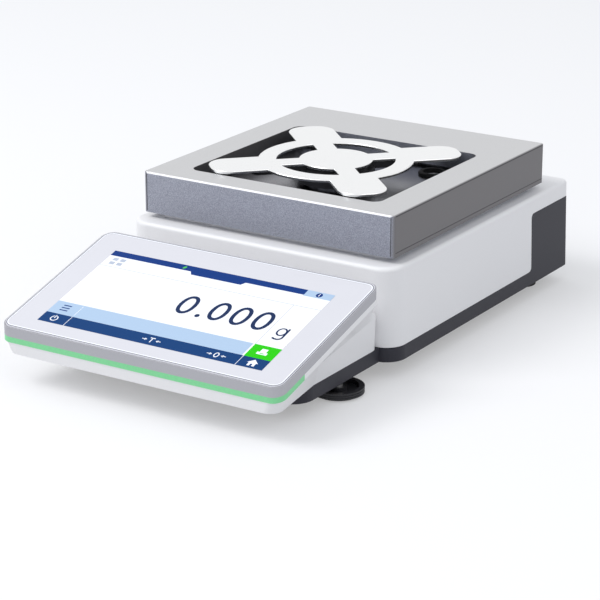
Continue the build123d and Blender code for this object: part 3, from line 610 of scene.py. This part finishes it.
class BALANCE_OT_trim(bpy.types.Operator):
    """Add painted lines on the folded draft ring: a painted highlight along the front top edge, and painted
    shade in the side creases, hems and seams
    """

    bl_idname = "balance.trim"
    bl_label = "Ring edges"

    def execute(self, context):
        # Painted highlight: a bright bar along the front top edge
        painted_highlight = finish("edge_painted_highlight", (0.86, 0.87, 0.89), 0.3, metallic=0.6, scale=900, spread=0.03)
        # Painted shade: near-black bars stand in for the shade in the side creases, the hem grooves and the
        # seams
        shade = finish("edge_shade", (0.022, 0.022, 0.027), 0.5, scale=900, spread=0.05)
        front = (0, ring_front_y, ring_top_z - ring_front_drop)
        self.line("ring_front_painted_highlight", front, (ring_front_length, ring_line_depth, 0.0007), painted_highlight)
        for side, name in ((-1, "left"), (1, "right")):
            edge = (side * ring_half, ring_middle_y, ring_top_z - ring_side_drop)
            hem = (side * ring_half, ring_middle_y, ring_hem_z)
            seam = (side * (ring_half - ring_seam_inset), ring_front_y, ring_seam_middle_z)
            self.line(f"ring_{name}_edge", edge, (ring_line_depth, ring_side_length, 0.0006), shade)
            self.line(f"ring_{name}_hem", hem, (ring_line_depth, ring_side_length, 0.0004), shade)
            self.line(f"ring_{name}_seam", seam, (0.0005, ring_line_depth, ring_seam_height), shade)
        return {"FINISHED"}

    def line(self, name, place, size, material):
        """Thin bevelled bar that lies on the ring."""
        bm = bmesh.new()
        bmesh.ops.create_cube(bm, size=1, matrix=Matrix.Translation(place) @ Matrix.Diagonal((*size, 1)))
        bmesh.ops.bevel(
            bm, geom=bm.edges[:], offset=min(size) * 0.3, affect="EDGES", segments=1, profile=0.5, material=-1
        )
        mesh = bpy.data.meshes.new(name)
        bm.to_mesh(mesh)
        bm.free()
        mesh.materials.append(material)
        piece = bpy.data.objects.new(name, mesh)
        bpy.context.collection.objects.link(piece)
        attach(piece, "ring")


class BALANCE_OT_stage(bpy.types.Operator):
    """Set the floor, the lamps and the camera"""

    bl_idname = "balance.stage"
    bl_label = "Stage"

    def execute(self, context):
        scene = context.scene
        self.floor()
        self.sky(scene)
        for name, place, size, power in lamps:
            self.lamp(name, place, size, power)
        self.camera(scene)
        scene.view_settings.view_transform = "Standard"
        return {"FINISHED"}

    def floor(self):
        """Pale floor that shows white where no shadow falls."""
        bm = bmesh.new()
        bmesh.ops.create_grid(bm, x_segments=1, y_segments=1, size=floor_half)
        mesh = bpy.data.meshes.new("floor")
        bm.to_mesh(mesh)
        bm.free()
        floor = bpy.data.objects.new("floor", mesh)
        bpy.context.collection.objects.link(floor)
        material = bpy.data.materials.new("floor_white")
        material.use_nodes = True
        tree, link = material.node_tree.nodes, material.node_tree.links.new
        tree.clear()
        diffuse = tree.new("ShaderNodeBsdfDiffuse")
        diffuse.inputs["Color"].default_value = floor_grey
        lift = tree.new("ShaderNodeEmission")
        ray = tree.new("ShaderNodeLightPath")
        seen, gain = tree.new("ShaderNodeMath"), tree.new("ShaderNodeMath")
        seen.operation = "MAXIMUM"
        gain.operation = "MULTIPLY"
        gain.inputs[1].default_value = floor_glow
        total = tree.new("ShaderNodeAddShader")
        end = tree.new("ShaderNodeOutputMaterial")
        link(ray.outputs["Is Camera Ray"], seen.inputs[0])
        link(ray.outputs["Is Glossy Ray"], seen.inputs[1])
        link(seen.outputs["Value"], gain.inputs[0])
        link(gain.outputs["Value"], lift.inputs["Strength"])
        link(diffuse.outputs["BSDF"], total.inputs[0])
        link(lift.outputs["Emission"], total.inputs[1])
        link(total.outputs["Shader"], end.inputs["Surface"])
        mesh.materials.append(material)

    def sky(self, scene):
        """Even grey light, seen as white by the camera, in reflections and through glass."""
        world = bpy.data.worlds.new("studio")
        world.use_nodes = True
        scene.world = world
        tree, link = world.node_tree.nodes, world.node_tree.links.new
        tree.clear()
        plain, white = tree.new("ShaderNodeBackground"), tree.new("ShaderNodeBackground")
        plain.inputs["Color"].default_value = sky_tint
        plain.inputs["Strength"].default_value = sky_strength
        white.inputs["Color"].default_value = (1, 1, 1, 1)
        white.inputs["Strength"].default_value = 1.0
        ray = tree.new("ShaderNodeLightPath")
        seen, all_seen = tree.new("ShaderNodeMath"), tree.new("ShaderNodeMath")
        seen.operation = all_seen.operation = "MAXIMUM"
        mix = tree.new("ShaderNodeMixShader")
        end = tree.new("ShaderNodeOutputWorld")
        link(ray.outputs["Is Camera Ray"], seen.inputs[0])
        link(ray.outputs["Is Transmission Ray"], seen.inputs[1])
        link(seen.outputs["Value"], all_seen.inputs[0])
        link(ray.outputs["Is Glossy Ray"], all_seen.inputs[1])
        link(all_seen.outputs["Value"], mix.inputs["Fac"])
        link(plain.outputs["Background"], mix.inputs[1])
        link(white.outputs["Background"], mix.inputs[2])
        link(mix.outputs["Shader"], end.inputs["Surface"])

    def lamp(self, name, place, size, power):
        """Square soft lamp that looks at the balance."""
        data = bpy.data.lights.new(name, "AREA")
        data.size = size
        data.energy = power
        lamp = bpy.data.objects.new(name, data)
        lamp.location = place
        aim = Vector(lamp_aim) - Vector(place)
        lamp.rotation_euler = aim.to_track_quat("-Z", "Y").to_euler()
        bpy.context.collection.objects.link(lamp)

    def camera(self, scene):
        """Camera solved from the photograph."""
        look = scene.balance
        flat = cos(camera_elevation)
        back = Vector((sin(camera_azimuth) * flat, -cos(camera_azimuth) * flat, sin(camera_elevation)))
        right = Vector((cos(camera_azimuth), sin(camera_azimuth), 0))
        up = back.cross(right)
        ring_top = Vector((0, ring_middle_y, ring_top_z))
        place = ring_top - right * camera_left - up * camera_down + back * look.camera_distance
        data = bpy.data.cameras.new("photo_camera")
        data.lens = look.camera_lens
        data.sensor_width = 36
        data.clip_end = 50
        camera = bpy.data.objects.new("photo_camera", data)
        camera.matrix_world = Matrix.Translation(place) @ Matrix((right, up, back)).transposed().to_4x4()
        bpy.context.collection.objects.link(camera)
        scene.camera = camera


class BALANCE_PT_panel(bpy.types.Panel):
    """Sizes, colours and steps of the balance"""

    bl_idname = "BALANCE_PT_panel"
    bl_label = "Precision balance"
    bl_space_type = "VIEW_3D"
    bl_region_type = "UI"
    bl_category = "Balance"

    def draw(self, context):
        look = context.scene.balance
        for name in BalanceSettings.__annotations__:
            self.layout.prop(look, name)
        for step in steps:
            self.layout.operator(step.bl_idname)


steps = (BALANCE_OT_finishes, BALANCE_OT_screen, BALANCE_OT_trim, BALANCE_OT_stage)
classes = (BalanceSettings, *steps, BALANCE_PT_panel)


def register():
    for cls in classes:
        bpy.utils.register_class(cls)
    bpy.types.Scene.balance = bpy.props.PointerProperty(type=BalanceSettings)


def unregister():
    del bpy.types.Scene.balance
    for cls in reversed(classes):
        bpy.utils.unregister_class(cls)


def main():
    register()
    bpy.ops.balance.finishes()
    bpy.ops.balance.screen()
    bpy.ops.balance.trim()
    bpy.ops.balance.stage()


if __name__ == "__main__":
    main()
